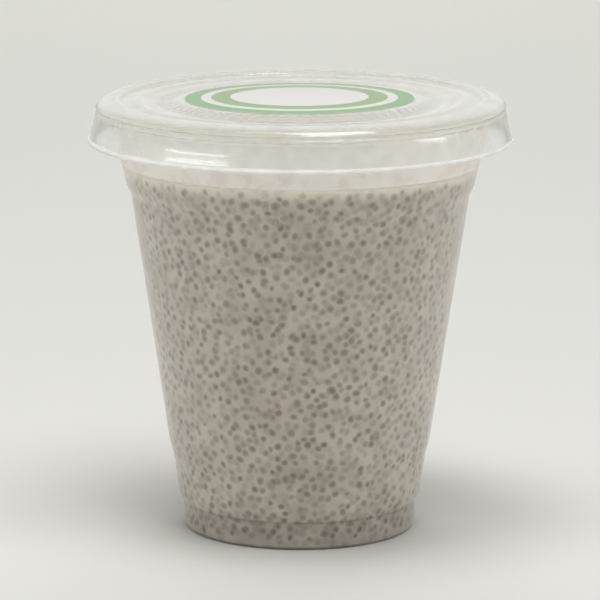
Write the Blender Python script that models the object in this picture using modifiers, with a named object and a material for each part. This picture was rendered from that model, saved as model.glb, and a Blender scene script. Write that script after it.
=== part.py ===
"""Chia pudding in a clear cup, closed by a flat press-on lid with a round label on it.

Metres, +Z up. The origin is the centre of the cup's base, on the surface that it stands on.
Every piece is turned about the Z axis from a profile of (radius, height) points.
"""

import math

import bmesh
import bpy

MM = 0.001
SEGMENTS = 48  # sides of every turned piece
GAP = 0.3 * MM  # clearance between pieces that touch in the real object

# Cup, by the radius of its outer face
CUP_WALL = 0.45 * MM
BASE_RADIUS = 28.0 * MM
BASE_CORNER = 0.8 * MM
STANDING_RING_WIDTH = 3.6 * MM  # flat ring that the cup stands on, round a raised panel
BASE_PANEL_RISE = 1.5 * MM
BASE_PANEL_SLOPE = 1.4 * MM
LEDGE_FOOT = (28.2 * MM, 6.3 * MM)  # the wall steps out over the base band
LEDGE_HEAD = (29.45 * MM, 8.6 * MM)
LOWER_STEP_FOOT = (30.78 * MM, 18.2 * MM)
LOWER_STEP_HEAD = (31.7 * MM, 21.2 * MM)
UPPER_STEP_FOOT = (40.85 * MM, 82.1 * MM)
UPPER_STEP_HEAD = (41.95 * MM, 84.3 * MM)
STEP_ROUND = 0.9 * MM
RIM_RADIUS = 48.65 * MM  # rolled rim, kept clear of the lid
RIM_TOP = 103.2 * MM
RIM_ROLL = 1.75 * MM  # outer radius of the roll's round section
RIM_ROLL_END = -50.0  # degrees past the roll's outer side, where the sheet ends
RIM_ROLL_STEPS = 7

# Pudding, by its level inside the cup
PUDDING_LEVEL = 89.0 * MM
PUDDING_EDGE = 89.7 * MM  # it clings to the wall a little above its level
MENISCUS_WIDTH = 2.2 * MM
TOP_RINGS = 5
TOP_RELIEF = 0.3 * MM

# Lid, by its upper and outer face
LID_WALL = 0.45 * MM
PLATEAU_RADIUS = 29.4 * MM
PLATEAU_TOP = 104.5 * MM
GROOVE_INNER = 31.7 * MM
GROOVE_OUTER = 33.2 * MM
GROOVE_FLOOR = 103.3 * MM
INNER_BEAD = (39.0 * MM, 105.25 * MM)
BETWEEN_BEADS = (42.6 * MM, 104.5 * MM)
OUTER_BEAD = (45.9 * MM, 105.1 * MM)
SHOULDER = (49.5 * MM, 103.05 * MM)  # sharp corner that stands a little over the skirt
SKIRT_TOP = (49.35 * MM, 102.2 * MM)
FLARE_START = (50.2 * MM, 97.9 * MM)
FLARE = (51.25 * MM, 96.3 * MM)
SKIRT_END = (51.1 * MM, 95.15 * MM)

# Label
LABEL_RADIUS = 27.65 * MM
LABEL_THICKNESS = 0.2 * MM


def fillet(corners):
    """Polyline through (radius, height, round, steps) corners, each rounded by a curve in steps."""
    points = []
    for i, (r, z, radius, steps) in enumerate(corners):
        if radius == 0 or i in (0, len(corners) - 1):
            points.append((r, z))
            continue
        before, after = corners[i - 1], corners[i + 1]
        to_before = math.atan2(before[1] - z, before[0] - r)
        to_after = math.atan2(after[1] - z, after[0] - r)
        between = math.pi - abs(math.pi - (to_after - to_before) % (2 * math.pi))
        reach = radius / math.tan(between / 2)
        room = 0.49 * min(math.dist((r, z), before[:2]), math.dist((r, z), after[:2]))
        reach = min(reach, room)
        start = (r + reach * math.cos(to_before), z + reach * math.sin(to_before))
        end = (r + reach * math.cos(to_after), z + reach * math.sin(to_after))
        for k in range(steps + 1):
            t = k / steps
            a, b, c = (1 - t) ** 2, 2 * t * (1 - t), t ** 2
            points.append((a * start[0] + b * r + c * end[0], a * start[1] + b * z + c * end[1]))
    return points


def offset(points, distance):
    """Polyline moved sideways by distance, to the right of its direction, with mitred corners."""
    moved = []
    for i, (r, z) in enumerate(points):
        normals = []
        for a, b in ((i - 1, i), (i, i + 1)):
            if a >= 0 and b < len(points):
                dr, dz = points[b][0] - points[a][0], points[b][1] - points[a][1]
                length = math.hypot(dr, dz)
                normals.append((dz / length, -dr / length))
        nr = sum(n[0] for n in normals)
        nz = sum(n[1] for n in normals)
        scale = distance * len(normals) / (nr * nr + nz * nz)
        moved.append((r + nr * scale, z + nz * scale))
    return moved


def cup_outer_face():
    """From the end of the rolled rim over the roll, down the wall and in to the base's centre."""
    roll_r = RIM_RADIUS - RIM_ROLL
    roll_z = RIM_TOP - RIM_ROLL
    inner_roll = RIM_ROLL - CUP_WALL
    points = []
    for k in range(RIM_ROLL_STEPS + 1):
        angle = math.radians(RIM_ROLL_END + (180 - RIM_ROLL_END) * k / RIM_ROLL_STEPS)
        points.append((roll_r + inner_roll * math.cos(angle), roll_z + inner_roll * math.sin(angle)))
    ring_inner = BASE_RADIUS - STANDING_RING_WIDTH
    wall = fillet([
        (*points[-1], 0, 0),
        (*UPPER_STEP_HEAD, STEP_ROUND, 1),
        (*UPPER_STEP_FOOT, STEP_ROUND, 1),
        (*LOWER_STEP_HEAD, STEP_ROUND, 1),
        (*LOWER_STEP_FOOT, STEP_ROUND, 1),
        (*LEDGE_HEAD, STEP_ROUND, 1),
        (*LEDGE_FOOT, STEP_ROUND, 1),
        (BASE_RADIUS, 0, BASE_CORNER, 2),
        (ring_inner, 0, BASE_CORNER, 1),
        (ring_inner - BASE_PANEL_SLOPE, BASE_PANEL_RISE, BASE_CORNER, 1),
        (0, BASE_PANEL_RISE, 0, 0),
    ])
    return points + wall[1:]


def pudding_face():
    """The cup's inner face less the gap, from the centre of the top round to the centre below."""
    inside = offset(cup_outer_face(), CUP_WALL + GAP)
    below = [p for p in inside if p[1] < PUDDING_EDGE]
    above = inside[-len(below) - 1]
    t = (PUDDING_EDGE - below[0][1]) / (above[1] - below[0][1])
    edge_r = below[0][0] + t * (above[0] - below[0][0])
    level_r = edge_r - MENISCUS_WIDTH
    top = [(level_r * k / TOP_RINGS, PUDDING_LEVEL) for k in range(TOP_RINGS + 1)]
    climb = (edge_r - MENISCUS_WIDTH / 3, PUDDING_LEVEL + (PUDDING_EDGE - PUDDING_LEVEL) / 3)
    below[-1] = (0, below[-1][1])
    return top + [climb, (edge_r, PUDDING_EDGE)] + below


def lid_outer_face():
    """From the centre of the top outwards over the groove and the two beads, and down the skirt."""
    return fillet([
        (0, PLATEAU_TOP, 0, 0),
        (PLATEAU_RADIUS, PLATEAU_TOP, 0.8 * MM, 1),
        (GROOVE_INNER, GROOVE_FLOOR, 0.8 * MM, 1),
        (GROOVE_OUTER, GROOVE_FLOOR, 1.5 * MM, 1),
        (*INNER_BEAD, 8.0 * MM, 3),
        (*BETWEEN_BEADS, 5.0 * MM, 1),
        (*OUTER_BEAD, 3.0 * MM, 2),
        (*SHOULDER, 0.5 * MM, 2),
        (*SKIRT_TOP, 0.5 * MM, 1),
        (*FLARE_START, 2.0 * MM, 1),
        (*FLARE, 1.6 * MM, 2),
        (*SKIRT_END, 0, 0),
    ])


def label_face():
    """A disc's section, from the centre of its top round its edge to the centre below."""
    bottom = PLATEAU_TOP + GAP
    top = bottom + LABEL_THICKNESS
    return [(0, top), (LABEL_RADIUS, top), (LABEL_RADIUS, bottom), (0, bottom)]


def make_material(name, colour, roughness, transmission=0.0):
    """Principled material with the piece's own colour and roughness."""
    material = bpy.data.materials.new(name)
    material.use_nodes = True
    shader = material.node_tree.nodes["Principled BSDF"]
    shader.inputs["Base Color"].default_value = (*colour, 1.0)
    shader.inputs["Roughness"].default_value = roughness
    shader.inputs["Metallic"].default_value = 0.0
    shader.inputs["Transmission Weight"].default_value = transmission
    return material


def turn(name, profile, collection, material):
    """Object turned about Z from a profile that runs down its outer side."""
    mesh = bpy.data.meshes.new(name)
    mesh.from_pydata([(r, 0, z) for r, z in profile], [(i, i + 1) for i in range(len(profile) - 1)], [])
    mesh.materials.append(material)
    obj = bpy.data.objects.new(name, mesh)
    collection.objects.link(obj)
    screw = obj.modifiers.new("Turn", "SCREW")
    screw.axis = "Z"
    screw.steps = SEGMENTS
    screw.render_steps = SEGMENTS
    screw.use_merge_vertices = True
    screw.merge_threshold = 0.00002
    screw.use_smooth_shade = True
    return obj


def thicken(obj, wall):
    """Give an open turned surface its wall, on the inner side of the face it was drawn by."""
    solid = obj.modifiers.new("Wall", "SOLIDIFY")
    solid.thickness = wall
    solid.offset = -1.0
    solid.use_even_offset = True
    solid.use_rim = True


def apply_modifiers(obj):
    """Replace an object's mesh by the one that its modifiers make."""
    evaluated = obj.evaluated_get(bpy.context.evaluated_depsgraph_get())
    mesh = bpy.data.meshes.new_from_object(evaluated)
    obj.modifiers.clear()
    obj.data = mesh


def relief(x, y):
    """Low swells of the pudding's top, in metres, as three crossed waves a few centimetres long."""
    waves = (
        math.sin(x / (6.5 * MM) + 0.7)
        + math.sin((x + 1.7 * y) / (11.0 * MM) + 2.1)
        + math.sin((y - 0.6 * x) / (7.5 * MM) + 4.0)
    )
    return TOP_RELIEF * waves / 3


def make_uneven(obj):
    """Raise and lower the level part of the top by the relief."""
    mesh = bmesh.new()
    mesh.from_mesh(obj.data)
    for vert in mesh.verts:
        if abs(vert.co.z - PUDDING_LEVEL) < 0.01 * MM:
            vert.co.z += relief(vert.co.x, vert.co.y)
    mesh.to_mesh(obj.data)
    mesh.free()


def make_cup(collection):
    """Thin clear cup with a rolled rim."""
    material = make_material("clear_cup", (0.86, 0.87, 0.84), 0.08, 0.9)
    thicken(turn("cup", cup_outer_face(), collection, material), CUP_WALL)


def make_pudding(collection):
    """Set pudding that fills the cup to just under the lid's skirt."""
    material = make_material("pudding", (0.40, 0.36, 0.31), 0.5)
    pudding = turn("pudding", pudding_face(), collection, material)
    apply_modifiers(pudding)
    make_uneven(pudding)


def make_lid(collection):
    """Thin clear lid whose skirt reaches down over the cup's rim."""
    material = make_material("clear_lid", (0.86, 0.87, 0.84), 0.1, 0.9)
    thicken(turn("lid", lid_outer_face(), collection, material), LID_WALL)


def make_label(collection):
    """Round paper label on the lid's raised middle."""
    material = make_material("label_paper", (0.34, 0.60, 0.33), 0.45)
    label = turn("label", label_face(), collection, material)
    apply_modifiers(label)
    label.data.shade_smooth()
    label.data.set_sharp_from_angle(angle=math.radians(30))


def main():
    for obj in list(bpy.data.objects):
        bpy.data.objects.remove(obj)
    collection = bpy.data.collections.new("chia_pudding")
    bpy.context.scene.collection.children.link(collection)
    make_cup(collection)
    make_pudding(collection)
    make_lid(collection)
    make_label(collection)


main()
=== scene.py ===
from math import pi, radians, tau

import bpy
import numpy as np
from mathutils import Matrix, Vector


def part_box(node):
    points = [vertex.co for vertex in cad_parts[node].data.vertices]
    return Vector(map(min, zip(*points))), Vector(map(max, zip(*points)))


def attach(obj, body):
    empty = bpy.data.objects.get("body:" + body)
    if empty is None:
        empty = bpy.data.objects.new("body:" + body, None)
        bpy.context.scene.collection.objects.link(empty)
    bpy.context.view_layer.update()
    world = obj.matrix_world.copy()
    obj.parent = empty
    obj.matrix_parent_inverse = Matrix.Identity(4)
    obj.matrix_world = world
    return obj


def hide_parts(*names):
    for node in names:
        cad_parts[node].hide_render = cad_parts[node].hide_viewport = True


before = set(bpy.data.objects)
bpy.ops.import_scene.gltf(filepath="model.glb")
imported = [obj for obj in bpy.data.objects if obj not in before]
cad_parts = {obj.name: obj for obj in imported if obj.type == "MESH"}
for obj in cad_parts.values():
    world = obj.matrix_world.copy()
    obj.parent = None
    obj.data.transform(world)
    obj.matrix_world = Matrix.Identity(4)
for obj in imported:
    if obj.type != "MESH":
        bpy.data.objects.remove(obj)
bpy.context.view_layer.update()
mm = 0.001
draw = np.random.default_rng(21)
print("frame loaded")


# Helpers for turned pieces

def roundedPath(corners, curveSteps, longest):
    # Points in mm along a path through (r, z, round) corners. A corner is a quadratic curve that leaves its
    # straights at the distance round, or where the next curve takes over, and one point where round is 0.
    # A straight is cut so that no step is longer than longest.
    points = [np.array(corners[0][:2], float)]
    for before, corner, after in zip(corners, corners[1:], corners[2:]):
        here = np.array(corner[:2], float)
        toBefore, toAfter = np.array(before[:2]) - here, np.array(after[:2]) - here
        backward, forward = np.hypot(*toBefore), np.hypot(*toAfter)
        roomBefore = max(0.49 * backward, backward - before[2])
        roomAfter = max(0.49 * forward, forward - after[2])
        reach = min(corner[2], roomBefore, roomAfter)
        start, end = here + toBefore / backward * reach, here + toAfter / forward * reach
        t = np.linspace(0, 1, curveSteps + 1)[:, None] if reach > 0 else np.array([[0.5]])
        points.extend((1 - t) ** 2 * start + 2 * t * (1 - t) * here + t ** 2 * end)
    points.append(np.array(corners[-1][:2], float))
    points = np.array(points)
    lengths = np.hypot(*np.diff(points, axis=0).T)
    steps = np.maximum(1, np.ceil(lengths / longest)).astype(int)
    straights = [a + (b - a) * np.arange(n)[:, None] / n for a, b, n in zip(points, points[1:], steps)]
    return np.vstack([*straights, points[-1:]]).T


def sideways(r, z):
    # Unit vectors that point left of the path's direction at each of its points
    dr, dz = np.gradient(r), np.gradient(z)
    length = np.hypot(dr, dz)
    return -dz / length, dr / length


def sheetSection(r, z, wall):
    # The closed section of a sheet, from its flat middle along its upper side, round its edge and back
    # below: its middle line moved by half the wall to each side, with a half circle round the edge
    nr, nz = sideways(r, z)
    half = wall / 2
    turn = np.linspace(0, pi, 7)[1:-1]
    edgeR = r[-1] + half[-1] * (nr[-1] * np.cos(turn) + nz[-1] * np.sin(turn))
    edgeZ = z[-1] + half[-1] * (nz[-1] * np.cos(turn) - nr[-1] * np.sin(turn))
    belowR, belowZ = (r - nr * half)[::-1], (z - nz * half)[::-1]
    return np.concatenate([r + nr * half, edgeR, belowR]), np.concatenate([z + nz * half, edgeZ, belowZ])


def roundTheAxis(turns):
    # Angles of a full turn in equal steps
    return tau * np.arange(turns) / turns


def meshFromFaces(name, points, quads, triangles, material):
    # One mesh object from arrays: points in mm, and corner indices of its quads and triangles
    mesh = bpy.data.meshes.new(name)
    mesh.vertices.add(len(points))
    mesh.vertices.foreach_set("co", np.ascontiguousarray(points * mm, np.float32).ravel())
    corners = np.concatenate([quads.ravel(), triangles.ravel()])
    sizes = np.concatenate([np.full(len(quads), 4), np.full(len(triangles), 3)])
    mesh.loops.add(len(corners))
    mesh.loops.foreach_set("vertex_index", corners.astype(np.int32))
    mesh.polygons.add(len(sizes))
    mesh.polygons.foreach_set("loop_start", (np.cumsum(sizes) - sizes).astype(np.int32))
    mesh.update(calc_edges=True)
    mesh.validate()
    mesh.shade_smooth()
    mesh.materials.append(material)
    piece = bpy.data.objects.new(name, mesh)
    bpy.context.scene.collection.objects.link(piece)
    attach(piece, "root")
    return piece


def turnedSolid(name, r, z, turns, material, seat=None, place=(0, 0)):
    # Closed piece turned about Z from a section in mm that starts and ends at r = 0 and runs down its outer
    # side: x = r cos a and y = r sin a, moved to its place, with seat(x, y) added to z. r and z have one
    # value for each point of the section, or a row of them, one for each angle.
    angle = roundTheAxis(turns)
    r, z = (np.broadcast_to(v.reshape(len(v), -1), (len(v), turns)) for v in (r, z))
    rings = np.stack([r * np.cos(angle), r * np.sin(angle), z], axis=-1)[1:-1]
    poles = [[0, 0, z[0].mean()], [0, 0, z[-1].mean()]]
    points = np.vstack([rings.reshape(-1, 3), poles])
    points[:, :2] += place
    if seat:
        points[:, 2] += seat(points[:, 0], points[:, 1])
    index = np.arange(len(rings) * turns).reshape(len(rings), turns)
    across = np.roll(index, -1, axis=1)
    quads = np.stack([index[:-1], index[1:], across[1:], across[:-1]], axis=-1).reshape(-1, 4)
    top, bottom = np.full(turns, len(points) - 2), np.full(turns, len(points) - 1)
    triangles = np.vstack([np.stack([top, index[0], across[0]], axis=-1),
                           np.stack([bottom, across[-1], index[-1]], axis=-1)])
    return meshFromFaces(name, points, quads, triangles, material)


# Helpers for materials

def linear(hexColour):
    # sRGB hex to the linear colour that a shader takes
    value = np.array([int(hexColour[i:i + 2], 16) for i in (1, 3, 5)]) / 255
    return (*np.where(value <= 0.04045, value / 12.92, ((value + 0.055) / 1.055) ** 2.4), 1.0)


def addNode(tree, kind, settings=(), links=(), stops=(), between="EASE"):
    # A node with its properties and socket values by name or number, and its inputs linked to outputs. A
    # Color Ramp also gets its stops, each a position with a hex colour or a value, and how it runs between
    # them. In a Mix node for colours, inputs 6 and 7 are its A and B, and output 2 is the mix.
    node = tree.nodes.new(kind)
    for key, value in dict(settings).items():
        if isinstance(key, str) and hasattr(node, key):
            setattr(node, key, value)
        else:
            node.inputs[key].default_value = value
    for key, output in dict(links).items():
        tree.links.new(output, node.inputs[key])
    if stops:
        ramp = node.color_ramp
        ramp.interpolation = between
        while len(ramp.elements) < len(stops):
            ramp.elements.new(0.5)
        for element, (position, value) in zip(ramp.elements, stops):
            element.position = position
            element.color = linear(value) if isinstance(value, str) else (value, value, value, 1.0)
    return node


def stopsByHeight(stops, low, high):
    # Stops at heights in mm, as shares of the way from low to high
    return [((z - low) / (high - low), value) for z, value in stops]


def newMaterial(name):
    # A material, its node tree, the node that it ends in, and the one that gives the place on the piece
    material = bpy.data.materials.new(name)
    material.use_nodes = True
    tree = material.node_tree
    tree.nodes.clear()
    return material, tree, addNode(tree, "ShaderNodeOutputMaterial"), addNode(tree, "ShaderNodeTexCoord")


# Clear PET, thermoformed from thin sheet: colourless and glossy, with slow waves where the sheet was
# stretched. It is faintly milky, more so at a glancing angle, where the way through it is longer, and where
# cold food has misted it or left a film inside.

def plainSheet(tree, place, finish):
    # The sheet without its film
    swell = addNode(tree, "ShaderNodeTexNoise", {"Scale": 1 / (finish["waveLength"] * mm), "Detail": 1.0},
                    {"Vector": place})
    bump = addNode(tree, "ShaderNodeBump", {"Strength": 1.0, "Distance": finish["waves"] * mm},
                   {"Height": swell.outputs["Fac"]})
    return addNode(tree, "ShaderNodeBsdfPrincipled",
                   {"Base Color": linear("#fefefd"), "Roughness": finish["roughness"], "IOR": 1.57,
                    "Transmission Weight": 1.0}, {"Normal": bump.outputs[0]})


def sheetFilm(tree, smear, finish):
    # The film alone: matt, and a little light comes through it. Most of a noise lies between 0.35 and 0.65.
    milk = addNode(tree, "ShaderNodeValToRGB", {}, {"Fac": smear}, [*zip((0.35, 0.6), finish["milk"])])
    front = addNode(tree, "ShaderNodeBsdfDiffuse", {}, {"Color": milk.outputs[0]})
    back = addNode(tree, "ShaderNodeBsdfTranslucent", {}, {"Color": milk.outputs[0]})
    return addNode(tree, "ShaderNodeMixShader", {"Fac": 0.12}, {1: front.outputs[0], 2: back.outputs[0]})


def clearSheet(name, finish):
    material, tree, output, coordinates = newMaterial(name)
    place = coordinates.outputs["Object"]
    # the film lies in smears that are a little longer down the wall than across it
    smearPlace = addNode(tree, "ShaderNodeVectorMath", {"operation": "MULTIPLY", 1: (1, 1, 0.8)}, {0: place})
    smear = addNode(tree, "ShaderNodeTexNoise", {"Scale": 1 / (finish["smearSize"] * mm), "Detail": 2.0},
                    {"Vector": smearPlace.outputs[0]}).outputs["Fac"]
    uneven = addNode(tree, "ShaderNodeMapRange",
                     {"From Min": 0.35, "From Max": 0.65, "To Min": 1 - finish["smears"],
                      "To Max": 1 + finish["smears"]}, {"Value": smear})

    # share of the film: what lies at this height, times the smears, and what a glancing angle adds there
    low, high = finish["film"][0][0], finish["film"][-1][0]
    height = addNode(tree, "ShaderNodeSeparateXYZ", {}, {0: place}).outputs["Z"]
    level = addNode(tree, "ShaderNodeMapRange", {"From Min": low * mm, "From Max": high * mm},
                    {"Value": height}).outputs[0]
    film = addNode(tree, "ShaderNodeValToRGB", {}, {"Fac": level}, stopsByHeight(finish["film"], low, high))
    more = addNode(tree, "ShaderNodeValToRGB", {}, {"Fac": level},
                   stopsByHeight(finish["glanceFilm"], low, high))
    glance = addNode(tree, "ShaderNodeLayerWeight", {"Blend": 0.5}).outputs["Facing"]
    glancing = addNode(tree, "ShaderNodeMath", {"operation": "MULTIPLY"}, {0: glance, 1: more.outputs[0]})
    share = addNode(tree, "ShaderNodeMath", {"operation": "MULTIPLY_ADD"},
                    {0: film.outputs[0], 1: uneven.outputs[0], 2: glancing.outputs[0]})
    filmed = addNode(tree, "ShaderNodeMixShader", {},
                     {0: share.outputs[0], 1: plainSheet(tree, place, finish).outputs[0],
                      2: sheetFilm(tree, smear, finish).outputs[0]})

    # for shadows and soft light the sheet only tints what passes, all over alike or by height
    through = addNode(tree, "ShaderNodeBsdfTransparent")
    if isinstance(finish["through"], str):
        through.inputs["Color"].default_value = linear(finish["through"])
    else:
        tint = addNode(tree, "ShaderNodeValToRGB", {}, {"Fac": level},
                       stopsByHeight(finish["through"], low, high))
        tree.links.new(tint.outputs[0], through.inputs["Color"])
    ray = addNode(tree, "ShaderNodeLightPath")
    softened = addNode(tree, "ShaderNodeMixShader", {},
                       {0: ray.outputs["Is Diffuse Ray"], 1: filmed.outputs[0], 2: through.outputs[0]})
    shown = addNode(tree, "ShaderNodeMixShader", {},
                    {0: ray.outputs["Is Shadow Ray"], 1: softened.outputs[0], 2: through.outputs[0]})
    tree.links.new(shown.outputs[0], output.inputs["Surface"])
    return material


# Cup

cup = {                     # sizes in mm
    "wall": 0.40,           # thickness of the sheet at the rim and the base
    "thinned": 0.2,         # share by which it is thinner where it was stretched most
    "thinnestAt": 45,       # height of that place
    "thinnedOver": 30,      # how far above and below it the sheet thickens again
    "turns": 240,           # steps round the axis
    "rimTop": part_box("cup")[1].z / mm,
    "rimRadius": 48.95,
    "roll": 1.3,            # outer radius of the rolled rim's section
    "rollEnd": -60,         # degrees below the roll's outer side where the sheet ends
    "rollPoints": 26,
    "neck": (45.75, 100.9),                         # radius and height where the wall bends out to the rim
    "upperStep": ((41.95, 84.3), (40.85, 82.1)),    # the same where a step in the wall starts, and ends
    "lowerStep": ((31.70, 21.2), (30.78, 18.2)),
    "ledge": ((29.45, 8.6), (28.20, 6.3)),
    "stepRound": 0.8,
    "cornerInset": 0.99,    # how much nearer the axis a corner is for each mm in from the wall's face
    "base": 28.0,
    "ring": 24.4,           # inner radius of the flat ring that the cup stands on
    "ringSlope": 1.4,       # width of the slope from it up to the raised panel
    "ringRound": 0.9,
    "panelRise": 1.5,
    "groove": (9.0, 9.8, 11.4, 12.2),               # radii of the corners of a groove in the panel
    "grooveDepth": 0.4,
    "grooveRound": 0.5,
    "finish": {
        "roughness": 0.03,
        "waves": 0.02,      # their height
        "waveLength": 9,
        "through": "#f8f9f6",                       # light that the sheet passes
        "milk": ("#f6ede5", "#fcf7f1"),             # the film, from its darkest smears to its palest
        "smearSize": 3.5,
        "smears": 0.05,     # share by which they vary the film
        # share of the film by height, great in the gap over the pudding, and what a glancing angle adds
        "film": [(0.0, 0.01), (89.4, 0.01), (89.9, 0.95), (98.0, 0.95), (101.0, 0.65)],
        "glanceFilm": [(0.0, 0.1), (15.0, 0.22), (45.0, 0.31), (62.0, 0.37), (89.7, 0.37), (101.0, 0.2)],
    },
}


def cupWallCorners(inset):
    # Corners of the cup's wall from the neck down to its base, as its outer face less an inset
    stations = [*cup["upperStep"], *cup["lowerStep"], *cup["ledge"]]
    return [(r - inset * cup["cornerInset"], z, cup["stepRound"]) for r, z in stations]


def makeCup(material):
    # Middle line of the sheet: base, wall, and the rim's roll as an arc about its own middle
    half = cup["wall"] / 2
    panel = cup["panelRise"] + half
    groove = panel - cup["grooveDepth"]
    grooveZ = (panel, groove, groove, panel)
    grooveCorners = [(r, z, cup["grooveRound"]) for r, z in zip(cup["groove"], grooveZ)]
    base = [(0, panel, 0), *grooveCorners, (cup["ring"] - cup["ringSlope"], panel, cup["ringRound"]),
            (cup["ring"], half, cup["ringRound"]), (cup["base"] - half, half, cup["stepRound"])]
    neck = (cup["neck"][0] - half, cup["neck"][1], cup["stepRound"])
    angle = np.radians(np.linspace(180, cup["rollEnd"], cup["rollPoints"]))
    rollR, rollZ = cup["rimRadius"] - cup["roll"], cup["rimTop"] - cup["roll"]
    middle = cup["roll"] - half
    roll = np.array([rollR + middle * np.cos(angle), rollZ + middle * np.sin(angle)])
    corners = [*base, *cupWallCorners(half)[::-1], neck, (*roll[:, 0], 0)]
    r, z = np.hstack([roundedPath(corners, curveSteps=5, longest=2.5)[:, :-1], roll])
    # the sheet thins towards one height of the wall, as a bell curve
    stretched = np.exp(-((z - cup["thinnestAt"]) / cup["thinnedOver"]) ** 2)
    wall = cup["wall"] * (1 - cup["thinned"] * stretched)
    piece = turnedSolid("clearCup", *sheetSection(r, z, wall), cup["turns"], material)
    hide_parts("cup")


makeCup(clearSheet("thermoformedPetCup", cup["finish"]))
print("cup made")


# Lid

lid = {                     # sizes in mm
    "wall": 0.33,
    "turns": 330,           # steps round the axis, five to a flute
    "flutes": 66,
    "fluteDepth": 0.32,     # between the crest and the hollow of a flute
    "fluteFrom": 29.2,      # radii between which there are flutes
    "fluteTo": 32.6,
    "fluteFade": (0.7, 0.9),        # how far in they fade from the one, and from the other
    "leanRight": 0.005,     # rise of the whole lid for each mm to the right
    "middleTip": 0.0166,    # rise of its middle for each mm to the front
    "tipFrom": 28.8,        # radii between which that rise fades out
    "tipTo": 32.6,
    "dome": 0.55,           # rise of its middle over the fluted edge
    "domeRadius": 28.5,
    "top": [                # its upper face outward from the middle: r, z and how far a corner is rounded
        (29.4, 104.72, 0.6), (31.7, 103.4, 0.8), (33.2, 103.4, 0.8),    # fluted slope and groove
        (35.4, 104.0, 1.0), (37.0, 104.0, 1.0),                         # inner flat
        (38.5, 104.7, 0.9), (39.4, 104.7, 0.9), (41.2, 104.0, 1.0),     # inner bead
        (42.93, 103.95, 0.8), (44.02, 105.1, 0.8), (46.3, 105.1, 1.6),  # outer bead
        (48.5, 104.25, 0.7), (49.35, 103.0, 0.35),                      # shoulder
        (48.9, 102.45, 0.25), (49.3, 101.95, 0.3),                      # groove under it
        (49.4, 101.2, 0.5), (49.66, 99.9, 0.9),                         # skirt
        (50.0, 98.5, 0.9), (50.4, 97.2, 0.9),
        (50.75, 95.9, 0.3), (51.03, 95.4, 0.25), (51.05, 95.0, 0.0),    # out to the lip
    ],
    "lip": 0.55,            # thickness of the bead along its edge
    "lipHeight": (0.1, 0.6),        # over the edge: the bead thins from the one to the other
    "finish": {
        "roughness": 0.1,
        "waves": 0.009,
        "waveLength": 9,
        # light that it passes by height: less through the top, whose ridges bend more of it aside
        "through": [(94.6, "#f8f9f6"), (102.4, "#f8f9f6"), (103.0, "#e0e0db"), (105.0, "#e0e0db")],
        "milk": ("#f3f3f0", "#f8f8f5"),
        "smearSize": 5,
        "smears": 0.08,
        # share of the film by height: great in the lip, little down the skirt, and least over the top
        "film": [(94.6, 0.4), (94.9, 0.4), (95.2, 0.8), (95.7, 0.8), (96.0, 0.2), (102.2, 0.2),
                 (103.2, 0.06), (104.0, 0.06), (104.5, 0.08), (105.0, 0.08)],
        "glanceFilm": [(94.6, 0.15), (102.2, 0.15), (103.3, 0.25), (103.95, 0.36), (105.0, 0.36)],
    },
}


def lidSeat(x, y):
    # How far the lid stands above its section, in mm: it leans to one side, and its middle tips up at the
    # front and is a shallow dome, whose height falls with the square of the radius
    r = np.hypot(x, y)
    fade = np.clip((lid["tipTo"] - r) / (lid["tipTo"] - lid["tipFrom"]), 0, 1)
    dome = lid["dome"] * np.clip(1 - (r / lid["domeRadius"]) ** 2, 0, 1)
    return lid["leanRight"] * x - lid["middleTip"] * y * fade + dome


def makeLid(material):
    # Middle line of the sheet, half the wall under the upper face
    half = lid["wall"] / 2
    r, z = roundedPath([(0, lid["top"][0][1], 0), *lid["top"]], curveSteps=5, longest=1.8)
    nr, nz = sideways(r, z)
    # the edge was cut hot and drew up into a bead
    wall = np.interp(z, z[-1] + np.array(lid["lipHeight"]), [lid["lip"], lid["wall"]])
    r, z = sheetSection(r - nr * half, z - nz * half, wall)
    # flutes: the slope round the raised middle goes in and out as a wave of the angle, within its radii
    fadeIn = np.clip((r - lid["fluteFrom"]) / lid["fluteFade"][0], 0, 1)
    fadeOut = np.clip((lid["fluteTo"] - r) / lid["fluteFade"][1], 0, 1)
    wave = 0.5 * lid["fluteDepth"] * np.cos(lid["flutes"] * roundTheAxis(lid["turns"]))
    fluted = r[:, None] + (fadeIn * fadeOut)[:, None] * wave
    piece = turnedSolid("clearLid", fluted, z, lid["turns"], material, lidSeat)
    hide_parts("lid")


makeLid(clearSheet("thermoformedPetLid", lid["finish"]))
print("lid made")


# Pudding

pudding = {                 # sizes in mm
    "turns": 256,
    "intoWall": 0.15,       # how far it reaches into the cup's wall, so that no air shows between them
    "edge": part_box("pudding")[1].z / mm,
    "level": 89.0,
    "meniscus": 2.2,        # width of the rise from the level to the edge
    "relief": 0.3,          # height of the top's swells
    "swells": [(1.0, 0.0, 6.5, 0.7), (1.0, 1.7, 11.0, 2.1), (-0.6, 1.0, 7.5, 4.0)],     # a, b, length, phase
    "topRings": (55, 11),   # rings of points over the top's flat, and up the meniscus
    "milk": ("#b4aa9f", "#c3baae"),     # the set milk, from its darkest patches to its palest
    "patchSize": 7,
    # painted light: the upper edge is paler partly for its few seeds and partly as painted light that comes
    # in through the top
    "creamAndTopLight": "#f4eadd",     # milk with few seeds, at the pudding's upper edge
    "creamAndTopLightFrom": 86.0,      # height where the milk begins to pale
    "creamAndTopLightOver": 0.5,       # how much of the seeds' darkness it takes away there
    "seed": ("#6a5f55", "#73625a"),     # soaked seeds, from grey to brown
    "seedPatch": 5,
    "deepSpacing": 2.6,     # between the seeds that show dimly through the milk
    "deepStrength": 0.30,
    # brightness by height: the foot is shaded, with dark lines where it meets the table and the ledge
    "shade": [(0.0, 0.35), (0.45, 0.4), (0.9, 0.8), (6.3, 0.82), (6.65, 0.66), (6.95, 0.66), (7.3, 1.0)],
}

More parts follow.
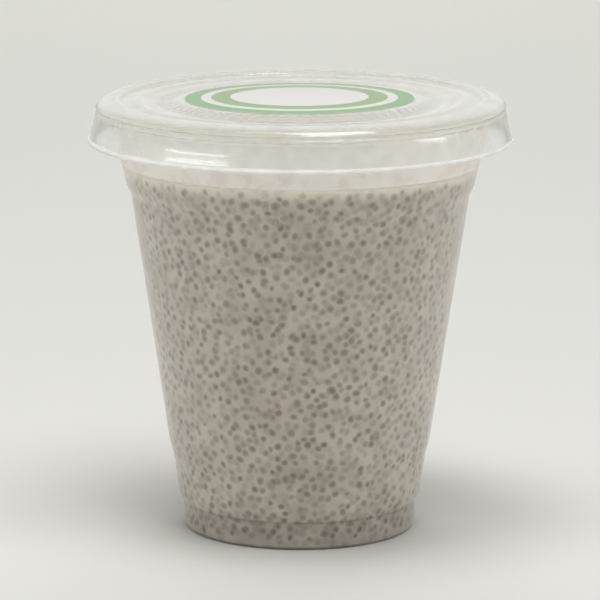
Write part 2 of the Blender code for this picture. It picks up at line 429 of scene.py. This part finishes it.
seeds = {                   # sizes in mm
    "radius": 1.0,
    "spread": 0.10,         # share by which that varies
    "longest": 1.35,        # length over width of the longest seeds
    "jitter": 0.5,          # off an even spacing
    "height": 0.06,         # that a seed stands out against the wall
    "topHeight": 0.22,      # and out of the pudding's top
    "wallDensity": 0.185,   # seeds for each square mm
    "topDensity": 0.17,
    "baseDensity": 0.17,
    "wallFrom": 1.9,        # height of the lowest on the wall
    "underEdge": 1.3,       # how far under the pudding's edge the highest is
    "topInset": 1.6,        # how far the outermost on top are in from the edge
    "baseInset": 2.2,       # and those below from the base's edge
    "faintest": 0.2,        # how dark the faintest is, where 1 is the seeds' full colour
    "darkness": (1.9, 1.4),             # shape of the beta distribution from that to 1
    "corners": 8,
    "rings": (0.45, 0.8, 1.15),         # radii of its rings of points, over the seed's own radius
    "ringShade": (0.88, 0.45, 0.0),     # how dark each is
    "ringRise": (0.8, 0.35, -0.3),      # and how high, over the seed's height
    "root": -1.5,                       # and the point that closes it from below
}


def puddingSide():
    # The side of the pudding from its edge down to the middle of its base, as (r, z) points in mm
    inset, rounded = cup["wall"] - pudding["intoWall"], cup["stepRound"]
    upper, neck, edge = cup["upperStep"][0], cup["neck"], pudding["edge"]
    edgeR = upper[0] + (edge - upper[1]) / (neck[1] - upper[1]) * (neck[0] - upper[0]) - inset
    panel = cup["panelRise"] + inset
    base = [(cup["base"] - inset, inset, rounded), (cup["ring"], inset, rounded),
            (cup["ring"] - cup["ringSlope"], panel, rounded), (0, panel, 0)]
    return roundedPath([(edgeR, edge, 0), *cupWallCorners(inset), *base], curveSteps=5, longest=1.2)


puddingR, puddingZ = puddingSide()
standing = int(np.argmax(puddingZ < 1.0))      # how many points of that side stand up along the wall


def wallRadius(z):
    # Radius of the pudding's side at a height
    return np.interp(z, puddingZ[:standing][::-1], puddingR[:standing][::-1])


def topHeight(x, y):
    # Height of the pudding's top: the mean of a few crossed waves, each the sine of (a x + b y) over its
    # length plus its phase, and at the wall a quarter ellipse that climbs to the edge
    waves = sum(np.sin((a * x + b * y) / length + phase) for a, b, length, phase in pudding["swells"])
    climb = np.clip((np.hypot(x, y) - puddingR[0]) / pudding["meniscus"] + 1, 0, 1)
    rise = (pudding["edge"] - pudding["level"]) * (1 - np.sqrt(1 - climb ** 2))
    return pudding["level"] + rise + pudding["relief"] * waves / len(pudding["swells"]) * (1 - climb)


def baseHeight(x, y):
    # Height of the pudding's underside
    return np.interp(np.hypot(x, y), puddingR[standing:][::-1], puddingZ[standing:][::-1])


def makePudding(material):
    # Rings of the top out to the edge, and then the side and the base
    flatRings, climbingRings = pudding["topRings"]
    flat = puddingR[0] - pudding["meniscus"]
    climbing = flat + pudding["meniscus"] * np.linspace(0, 1, climbingRings, endpoint=False)
    topR = np.concatenate([np.linspace(0, flat, flatRings, endpoint=False), climbing])
    angle = roundTheAxis(pudding["turns"])
    topZ = topHeight(topR[:, None] * np.cos(angle), topR[:, None] * np.sin(angle))
    sideZ = np.tile(puddingZ[:, None], pudding["turns"])
    r, z = np.concatenate([topR, puddingR]), np.vstack([topZ, sideZ])
    piece = turnedSolid("puddingBody", r, z, pudding["turns"], material)
    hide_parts("pudding")


def puddingMaterial():
    # Milk set round soaked chia seeds, spooned in and chilled: cloudy and moist, with the seeds at the
    # surface dark, and those behind it dim and blurred
    material, tree, output, coordinates = newMaterial("setChiaPudding")
    place = coordinates.outputs["Object"]
    height = addNode(tree, "ShaderNodeSeparateXYZ", {}, {0: place}).outputs["Z"]

    # the milk, uneven, and paler towards the pudding's edge, where it holds few seeds and where painted
    # light stands for the light that comes in through the top
    cloud = addNode(tree, "ShaderNodeTexNoise", {"Scale": 1 / (pudding["patchSize"] * mm), "Detail": 3.0},
                    {"Vector": place})
    milk = addNode(tree, "ShaderNodeValToRGB", {}, {"Fac": cloud.outputs["Fac"]},
                   [*zip((0.35, 0.65), pudding["milk"])])
    upper = addNode(tree, "ShaderNodeMapRange",
                    {"From Min": pudding["creamAndTopLightFrom"] * mm, "From Max": pudding["edge"] * mm,
                     "interpolation_type": "SMOOTHSTEP"}, {"Value": height})
    paled = addNode(tree, "ShaderNodeMix", {"data_type": "RGBA", 7: linear(pudding["creamAndTopLight"])},
                    {0: upper.outputs[0], 6: milk.outputs[0]})

    # how dark it is: the modelled seeds by their attribute, dim ones behind them, and less near the edge,
    # with its few seeds and painted light from the top
    dim = addNode(tree, "ShaderNodeTexVoronoi", {"Scale": 1 / (pudding["deepSpacing"] * mm)},
                  {"Vector": place})
    blot = addNode(tree, "ShaderNodeValToRGB", {}, {"Fac": dim.outputs["Distance"]},
                   [(0.2, pudding["deepStrength"]), (0.5, 0.0)])
    near = addNode(tree, "ShaderNodeAttribute", {"attribute_name": "seedShade"})
    dark = addNode(tree, "ShaderNodeMath", {"operation": "MAXIMUM"},
                   {0: blot.outputs[0], 1: near.outputs["Fac"]})
    bared = addNode(tree, "ShaderNodeMath", {"operation": "MULTIPLY_ADD", 1: -pudding["creamAndTopLightOver"], 2: 1.0},
                    {0: upper.outputs[0]})
    dimmed = addNode(tree, "ShaderNodeMath", {"operation": "MULTIPLY"},
                     {0: dark.outputs[0], 1: bared.outputs[0]})

    # the seeds' colour, which changes from patch to patch
    patch = addNode(tree, "ShaderNodeTexNoise", {"Scale": 1 / (pudding["seedPatch"] * mm), "Detail": 1.0},
                    {"Vector": place})
    seed = addNode(tree, "ShaderNodeValToRGB", {}, {"Fac": patch.outputs["Fac"]},
                   [*zip((0.45, 0.6), pudding["seed"])])
    colour = addNode(tree, "ShaderNodeMix", {"data_type": "RGBA"},
                     {0: dimmed.outputs[0], 6: paled.outputs[2], 7: seed.outputs[0]})

    # the shade at its foot
    top = pudding["shade"][-1][0]
    low = addNode(tree, "ShaderNodeMapRange", {"From Max": top * mm}, {"Value": height})
    shade = addNode(tree, "ShaderNodeValToRGB", {}, {"Fac": low.outputs[0]},
                    stopsByHeight(pudding["shade"], 0, top), "LINEAR")
    shaded = addNode(tree, "ShaderNodeMix", {"data_type": "RGBA", "blend_type": "MULTIPLY", 0: 1.0},
                     {6: colour.outputs[2], 7: shade.outputs[0]})
    body = addNode(tree, "ShaderNodeBsdfPrincipled", {"Roughness": 0.22, "IOR": 1.36},
                   {"Base Color": shaded.outputs[2]})
    tree.links.new(body.outputs[0], output.inputs["Surface"])
    return material


def evenSpread(count):
    # Places that never lie close together: each is a golden angle on from the last, and a step further
    # through the area
    step = np.arange(count) + 0.5
    return pi * (3 - np.sqrt(5)) * step, step / count


def seedShapes(count, height):
    # Soaked seeds as low domes: rings of an ellipse that lies at a random angle, as offsets (u, v, w) in mm
    # from each seed's place, with how dark each point is. The last point closes the seed from below.
    corners = seeds["corners"]
    ring = np.array([0, *np.repeat(seeds["rings"], corners), 0])
    turn = np.array([0, *np.tile(roundTheAxis(corners), len(seeds["rings"])), 0])
    length = seeds["radius"] * (1 + seeds["spread"] * draw.standard_normal((count, 1)))
    slim = np.sqrt(draw.uniform(1, seeds["longest"], (count, 1)))
    a, b = ring * np.cos(turn) * length * slim, ring * np.sin(turn) * length / slim
    lie = draw.uniform(0, pi, (count, 1))
    strength = seeds["faintest"] + (1 - seeds["faintest"]) * draw.beta(*seeds["darkness"], (count, 1))
    shade = np.array([1, *np.repeat(seeds["ringShade"], corners), 0]) * strength
    w = height * np.array([1, *np.repeat(seeds["ringRise"], corners), seeds["root"]])
    return a * np.cos(lie) - b * np.sin(lie), a * np.sin(lie) + b * np.cos(lie), w, shade


def joinSeeds(name, x, y, z, shade, material):
    # One mesh of all the seeds. A seed's points are its middle, its rings from the innermost, and the last
    # one: it has a fan round its middle, bands of quads between its rings, and a fan round the last point.
    corners, rings = seeds["corners"], len(seeds["rings"])
    first = np.arange(len(x))[:, None, None] * x.shape[1]
    k = np.arange(corners)
    after = (k + 1) % corners
    outermost, last = 1 + corners * (rings - 1), 1 + corners * rings
    over = np.stack([0 * k, 1 + k, 1 + after], axis=-1)
    under = np.stack([0 * k + last, outermost + after, outermost + k], axis=-1)
    fans = first + np.vstack([over, under])
    band = np.stack([k, k + corners, after + corners, after], axis=-1) + 1
    bands = first + np.vstack([band + corners * level for level in range(rings - 1)])
    points = np.stack([x, y, z], axis=-1).reshape(-1, 3)
    piece = meshFromFaces(name, points, bands.reshape(-1, 4), fans.reshape(-1, 3), material)
    piece.data.attributes.new("seedShade", "FLOAT", "POINT").data.foreach_set("value", shade.ravel())


def makeWallSeeds(material):
    # Spread evenly over the side: the share of its area below a height gives the height back. Each seed's
    # u then runs round the wall, v up it, and w out of it.
    z = np.linspace(seeds["wallFrom"], pudding["edge"] - seeds["underEdge"], 400)
    bands = tau * wallRadius(z[1:]) * np.hypot(np.diff(z), np.diff(wallRadius(z)))
    area = np.concatenate([[0], np.cumsum(bands)])
    count = int(seeds["wallDensity"] * area[-1])
    turn, share = evenSpread(count)
    z0 = np.interp(share * area[-1], area, z) + seeds["jitter"] * draw.standard_normal(count)
    z0 = np.clip(z0, z[0], z[-1])
    angle0 = turn + seeds["jitter"] * draw.standard_normal(count) / wallRadius(z0)
    u, v, w, shade = seedShapes(count, seeds["height"])
    z1 = z0[:, None] + v
    r = wallRadius(z1) + w
    angle = angle0[:, None] + u / wallRadius(z0)[:, None]
    joinSeeds("wallSeeds", r * np.cos(angle), r * np.sin(angle), z1, shade, material)


def makeFlatSeeds(name, material, radius, density, surface, up, height):
    # Spread evenly over a disc: the distance from its middle is its radius times the root of a share. up is
    # 1 where the seeds face up and -1 where they face down.
    count = int(density * pi * radius ** 2)
    turn, share = evenSpread(count)
    r = radius * np.sqrt(share)
    x0, y0 = (r * side(turn) + seeds["jitter"] * draw.standard_normal(count) for side in (np.cos, np.sin))
    pull = np.minimum(1, radius / np.hypot(x0, y0))
    u, v, w, shade = seedShapes(count, height)
    x, y = (x0 * pull)[:, None] + u, (y0 * pull)[:, None] + up * v
    joinSeeds(name, x, y, surface(x, y) + up * w, shade, material)


chiaPudding = puddingMaterial()
makePudding(chiaPudding)
makeWallSeeds(chiaPudding)
makeFlatSeeds("topSeeds", chiaPudding, radius=puddingR[0] - seeds["topInset"],
              density=seeds["topDensity"], surface=topHeight, up=1, height=seeds["topHeight"])
makeFlatSeeds("baseSeeds", chiaPudding, radius=cup["base"] - seeds["baseInset"],
              density=seeds["baseDensity"], surface=baseHeight, up=-1, height=seeds["height"])
print("pudding made")


# Label

label = {                   # sizes in mm
    "radius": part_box("label")[1].x / mm,
    "thick": 0.12,
    "edgeRound": 0.3,       # share of the thickness
    "lift": 0.03,           # over the lid's raised middle
    "turns": 128,
    "place": (-0.3, -0.5),  # off its centre, as labels are put on by hand
    # fields of colour from the middle, each with the radius where it ends
    "rings": [(16.6, "#f8f6f2"), (21.2, "#a1c47e"), (23.6, "#f8f6f2"), (27.5, "#91c882")],
    "margin": "#f8f6f2",    # bare paper outside the last ring
    "glow": 0.25,           # share of the light that comes through the paper
}


def labelMaterial():
    # Coated paper, printed in flat colours: smooth, with a soft gloss that pales the colours at a glancing
    # angle, and it lets a little light through
    material, tree, output, coordinates = newMaterial("printedCoatedPaper")
    offset = (-label["place"][0] * mm, -label["place"][1] * mm, 0)
    flat = addNode(tree, "ShaderNodeVectorMath", {"operation": "MULTIPLY_ADD", 1: (1, 1, 0), 2: offset},
                   {0: coordinates.outputs["Object"]})
    far = addNode(tree, "ShaderNodeVectorMath", {"operation": "LENGTH"}, {0: flat.outputs[0]})
    reach = 30              # mm from the label's middle to the ramp's end
    share = addNode(tree, "ShaderNodeMath", {"operation": "DIVIDE", 1: reach * mm},
                    {0: far.outputs["Value"]})
    starts = [0.0] + [outer / reach for outer, _ in label["rings"]]
    colours = [colour for _, colour in label["rings"]] + [label["margin"]]
    ink = addNode(tree, "ShaderNodeValToRGB", {}, {"Fac": share.outputs[0]}, [*zip(starts, colours)],
                  "CONSTANT")
    paper = addNode(tree, "ShaderNodeBsdfPrincipled", {"Roughness": 0.09, "IOR": 1.52},
                    {"Base Color": ink.outputs[0]})
    glow = addNode(tree, "ShaderNodeBsdfTranslucent", {}, {"Color": ink.outputs[0]})
    sheet = addNode(tree, "ShaderNodeMixShader", {"Fac": label["glow"]},
                    {1: paper.outputs[0], 2: glow.outputs[0]})
    tree.links.new(sheet.outputs[0], output.inputs["Surface"])
    return material


def makeLabel(material):
    # A thin disc that follows the lid's raised middle
    bottom = lid["top"][0][1] + label["lift"]
    top = bottom + label["thick"]
    edge = label["thick"] * label["edgeRound"]
    corners = [(0, top, 0), (label["radius"], top, edge), (label["radius"], bottom, edge), (0, bottom, 0)]
    r, z = roundedPath(corners, curveSteps=2, longest=1.5)
    piece = turnedSolid("paperLabel", r, z, label["turns"], material, lidSeat, label["place"])
    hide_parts("label")


makeLabel(labelMaterial())
print("label made")


# Floor, light and camera

studio = {                  # sizes in m
    # painted light and shade: the table is darker near the cup, deepening its shadow, and paler a little way
    # off
    "floor": [(0.0, "#dad9d5"), (0.5, "#e0e0da"), (0.93, "#e2e2db")],       # colour by distance from the cup
    "floorReach": 6,
    "floorLevel": -0.00005,     # just under the cup's base, so that the two don't share a plane
    "walls": 0.70,          # brightness of the room that shows in gloss and through the clear sheet
    "fill": 0.13,           # and of the light that it gives
    "lights": {             # place, width, height, turn in degrees, power in W, and whether gloss shows it
        "overheadSoftbox": ((0.16, -0.26, 0.95), 0.50, 0.50, 0, 4.4, True),     # main light
        "overheadStrip": ((-0.20, -0.13, 0.95), 0.19, 0.34, 0, 0.3, True),      # gloss on the lid
        "overheadPanel": ((-0.14, -0.08, 0.96), 0.35, 0.35, 0, 3.0, False),     # soft light from above
        "backPanel": ((0.0, 1.3, 0.9), 1.6, 0.9, 0, 10.8, False),               # far floor
        "frontPanel": ((0.0, -1.8, 0.18), 1.6, 0.3, 0, 3.7, False),             # front of the pudding
        "leftPanel": ((-1.8, -0.1, 0.18), 1.6, 0.3, 0, 5.6, False),             # and its sides
        "rightPanel": ((1.8, -0.1, 0.18), 1.6, 0.3, 0, 5.5, False),
        "leftStrip": ((-0.92, -0.55, 0.42), 0.75, 0.035, 9, 0.65, True),        # streak on the skirt's left
        "rightStrip": ((1.15, -0.30, 0.24), 0.40, 0.07, 0, 0.5, True),          # and on its right
    },
    "distance": 1.002,      # camera in front of the cup's axis
    "height": 0.257,
    "pitch": 11.38,         # degrees below the horizon
    "roll": 0.22,           # degrees
    "lens": 253.0,          # mm, on a sensor 36 mm wide
}


def makeFloor():
    # Table top in matt paint: no gloss, a faint grain, and painted light in its colour: darker near the cup,
    # which deepens its shadow, and paler a little way off
    material, tree, output, coordinates = newMaterial("paintedTable")
    place = coordinates.outputs["Object"]
    far = addNode(tree, "ShaderNodeVectorMath", {"operation": "LENGTH"}, {0: place})
    tone = addNode(tree, "ShaderNodeValToRGB", {}, {"Fac": far.outputs["Value"]}, studio["floor"], "LINEAR")
    fine = addNode(tree, "ShaderNodeTexNoise", {"Scale": 1 / (2 * mm), "Detail": 2.0}, {"Vector": place})
    bump = addNode(tree, "ShaderNodeBump", {"Strength": 0.05, "Distance": 0.05 * mm},
                   {"Height": fine.outputs["Fac"]})
    paint = addNode(tree, "ShaderNodeBsdfPrincipled", {"Roughness": 0.9, "Specular IOR Level": 0.1},
                    {"Base Color": tone.outputs[0], "Normal": bump.outputs[0]})
    tree.links.new(paint.outputs[0], output.inputs["Surface"])
    mesh = bpy.data.meshes.new("floor")
    reach, level = studio["floorReach"], studio["floorLevel"]
    corners = [(-reach, -reach), (reach, -reach), (reach, reach), (-reach, reach)]
    mesh.from_pydata([(x, y, level) for x, y in corners], [], [(0, 1, 2, 3)])
    mesh.materials.append(material)
    floor = bpy.data.objects.new("floor", mesh)
    bpy.context.scene.collection.objects.link(floor)


def makeRoom():
    # Pale walls all round, as bright as walls where gloss and clear sheet show them, and dimmer where they
    # only light the cup
    world = bpy.data.worlds.new("paleRoom")
    bpy.context.scene.world = world
    world.use_nodes = True
    tree = world.node_tree
    lighting = addNode(tree, "ShaderNodeLightPath").outputs["Is Diffuse Ray"]
    bright = addNode(tree, "ShaderNodeMath",
                     {"operation": "MULTIPLY_ADD", 1: studio["fill"] - studio["walls"], 2: studio["walls"]},
                     {0: lighting})
    background = tree.nodes["Background"]
    background.inputs["Color"].default_value = (1, 1, 1, 1)
    tree.links.new(bright.outputs[0], background.inputs["Strength"])


def areaLight(name, place, width, height, turn, power, inGloss):
    # A softbox that faces the cup's foot, turned about that line. The camera doesn't see it.
    data = bpy.data.lights.new(name, "AREA")
    data.shape = "RECTANGLE"
    data.size, data.size_y = width, height
    data.energy = power
    light = bpy.data.objects.new(name, data)
    bpy.context.scene.collection.objects.link(light)
    light.location = place
    light.rotation_euler = light.location.to_track_quat("Z", "Y").to_euler()
    light.rotation_euler.rotate_axis("Z", radians(turn))
    light.visible_camera = False
    light.visible_glossy = light.visible_transmission = inGloss


def makeCamera():
    data = bpy.data.cameras.new("camera")
    data.lens = studio["lens"]
    data.sensor_width = 36
    data.clip_start, data.clip_end = 0.05, 30
    camera = bpy.data.objects.new("camera", data)
    bpy.context.scene.collection.objects.link(camera)
    camera.location = (0, -studio["distance"], studio["height"])
    camera.rotation_mode = "ZYX"
    camera.rotation_euler = (radians(90 - studio["pitch"]), 0, radians(studio["roll"]))
    bpy.context.scene.camera = camera


def allowDeepLight():
    # Light crosses the lid and both sides of the cup, each with two faces, many times over
    paths = bpy.context.scene.cycles
    paths.max_bounces = paths.transmission_bounces = paths.transparent_max_bounces = 32
    paths.glossy_bounces = 12


makeFloor()
makeRoom()
for name, setting in studio["lights"].items():
    areaLight(name, *setting)
makeCamera()
allowDeepLight()
bpy.context.scene.view_settings.view_transform = "Standard"     # colours come out as they are given
print("studio made")
